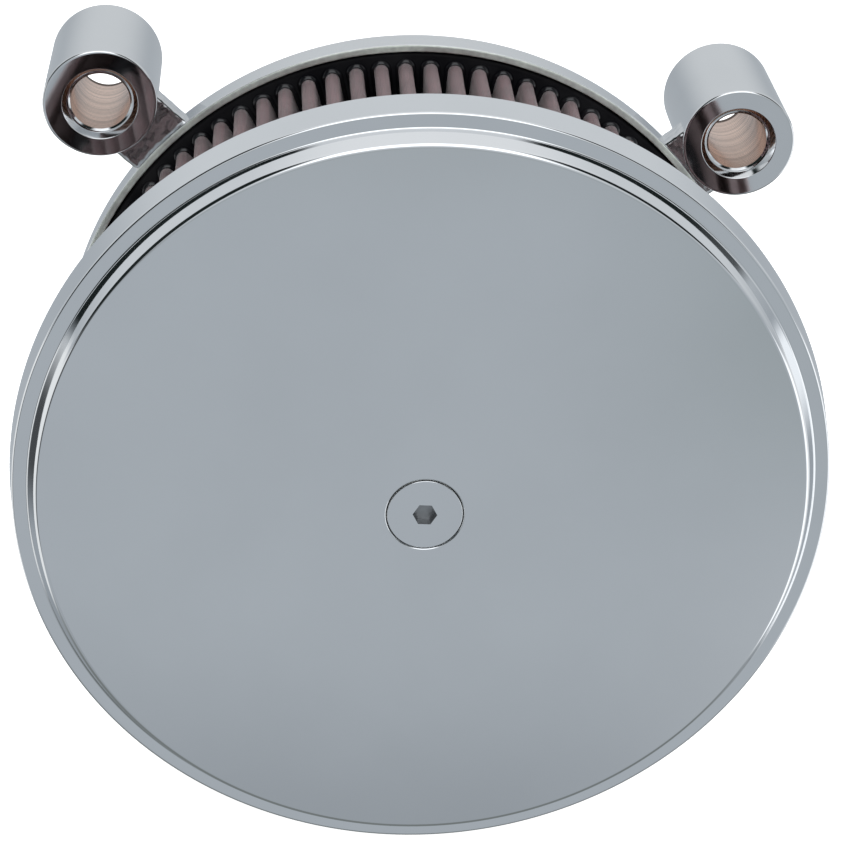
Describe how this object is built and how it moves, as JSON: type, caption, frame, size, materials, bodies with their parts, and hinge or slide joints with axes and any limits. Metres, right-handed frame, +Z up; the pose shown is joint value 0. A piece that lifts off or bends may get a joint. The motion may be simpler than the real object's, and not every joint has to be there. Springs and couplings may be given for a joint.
{
  "type": "motorcycle air filter",
  "caption": "Round motorcycle air cleaner: chrome backing plate with two breather bosses, pleated filter ring and a removable domed cover.",
  "frame": {"origin": "centre of the throttle body seat, on the rear plane of the backing plate", "axes": "+Y points along the intake axis into the throttle body, -Y out through the cover, +Z up towards the breather bosses, +X to the right seen from the cover"},
  "size_m": [0.2032, 0.1176, 0.2032],
  "materials": {
    "chrome_cover": "bright chrome plating on spun steel",
    "chrome_casting": "bright chrome plating on a polished casting",
    "cotton_gauze": "oiled cotton gauze under a fine black wire screen",
    "filter_rubber": "semi-gloss moulded polyurethane",
    "black_rubber": "matte",
    "zinc_steel": "zinc plated",
    "zinc_sheet": "zinc plated pressing",
    "gasket_paper": "grey fibre gasket paper",
    "nylon": "natural nylon"
  },
  "bodies": {
    "mounting_plate": {"backing_plate": "chrome_casting", "throttle_gasket": "gasket_paper", "throttle_screw_1": "zinc_steel", "throttle_screw_2": "zinc_steel", "throttle_screw_3": "zinc_steel", "standoff_post_1": "zinc_steel", "standoff_post_2": "zinc_steel", "standoff_post_3": "zinc_steel", "boss_o_ring_left": "black_rubber", "boss_o_ring_right": "black_rubber"},
    "filter_element": {"filter_lower_seal": "filter_rubber", "filter_media": "cotton_gauze", "filter_upper_seal": "filter_rubber"},
    "retainer": {"retaining_plate": "zinc_sheet", "centre_nut": "zinc_steel"},
    "cover_shell": {"cover": "chrome_cover", "cover_gasket": "black_rubber"},
    "cover_washer": {"cover_screw_washer": "nylon"},
    "cover_bolt": {"cover_screw": "chrome_cover"},
    "lock_washer_body_1": {"lock_washer_1": "zinc_steel"},
    "retaining_bolt_1": {"retaining_screw_1": "zinc_steel"},
    "lock_washer_body_2": {"lock_washer_2": "zinc_steel"},
    "retaining_bolt_2": {"retaining_screw_2": "zinc_steel"},
    "lock_washer_body_3": {"lock_washer_3": "zinc_steel"},
    "retaining_bolt_3": {"retaining_screw_3": "zinc_steel"}
  },
  "joints": [
    {"name": "filter_pull", "type": "slide", "parent": "mounting_plate", "child": "filter_element", "axis": [0, -1, 0], "range_m": [0, 0.11]},
    {"name": "retainer_lift", "type": "slide", "parent": "filter_element", "child": "retainer", "axis": [0, -1, 0], "range_m": [0, 0.04]},
    {"name": "cover_lift", "type": "slide", "parent": "retainer", "child": "cover_shell", "axis": [0, -1, 0], "range_m": [0, 0.06]},
    {"name": "cover_screw_travel", "type": "slide", "parent": "cover_shell", "child": "cover_washer", "axis": [0, -1, 0], "range_m": [0, 0.0084]},
    {"name": "cover_screw_turn", "type": "hinge", "parent": "cover_washer", "child": "cover_bolt", "pos_m": [0, -0.09, 0], "axis": [0, -1, 0], "range_deg": [0, 2160]},
    {"name": "retaining_screw_1_travel", "type": "slide", "parent": "retainer", "child": "lock_washer_body_1", "axis": [0, -1, 0], "range_m": [0, 0.0101]},
    {"name": "retaining_screw_1_turn", "type": "hinge", "parent": "lock_washer_body_1", "child": "retaining_bolt_1", "pos_m": [0, -0.068, 0.057], "axis": [0, -1, 0], "range_deg": [0, 2880]},
    {"name": "retaining_screw_2_travel", "type": "slide", "parent": "retainer", "child": "lock_washer_body_2", "axis": [0, -1, 0], "range_m": [0, 0.0101]},
    {"name": "retaining_screw_2_turn", "type": "hinge", "parent": "lock_washer_body_2", "child": "retaining_bolt_2", "pos_m": [-0.04936, -0.068, -0.0285], "axis": [0, -1, 0], "range_deg": [0, 2880]},
    {"name": "retaining_screw_3_travel", "type": "slide", "parent": "retainer", "child": "lock_washer_body_3", "axis": [0, -1, 0], "range_m": [0, 0.0101]},
    {"name": "retaining_screw_3_turn", "type": "hinge", "parent": "lock_washer_body_3", "child": "retaining_bolt_3", "pos_m": [0.04936, -0.068, -0.0285], "axis": [0, -1, 0], "range_deg": [0, 2880]}
  ],
  "couplings": [
    {"joint": "cover_screw_turn", "follows": "cover_screw_travel", "rad_per_m": 4452.6},
    {"joint": "retaining_screw_1_turn", "follows": "retaining_screw_1_travel", "rad_per_m": 4947.4},
    {"joint": "retaining_screw_2_turn", "follows": "retaining_screw_2_travel", "rad_per_m": 4947.4},
    {"joint": "retaining_screw_3_turn", "follows": "retaining_screw_3_travel", "rad_per_m": 4947.4}
  ]
}
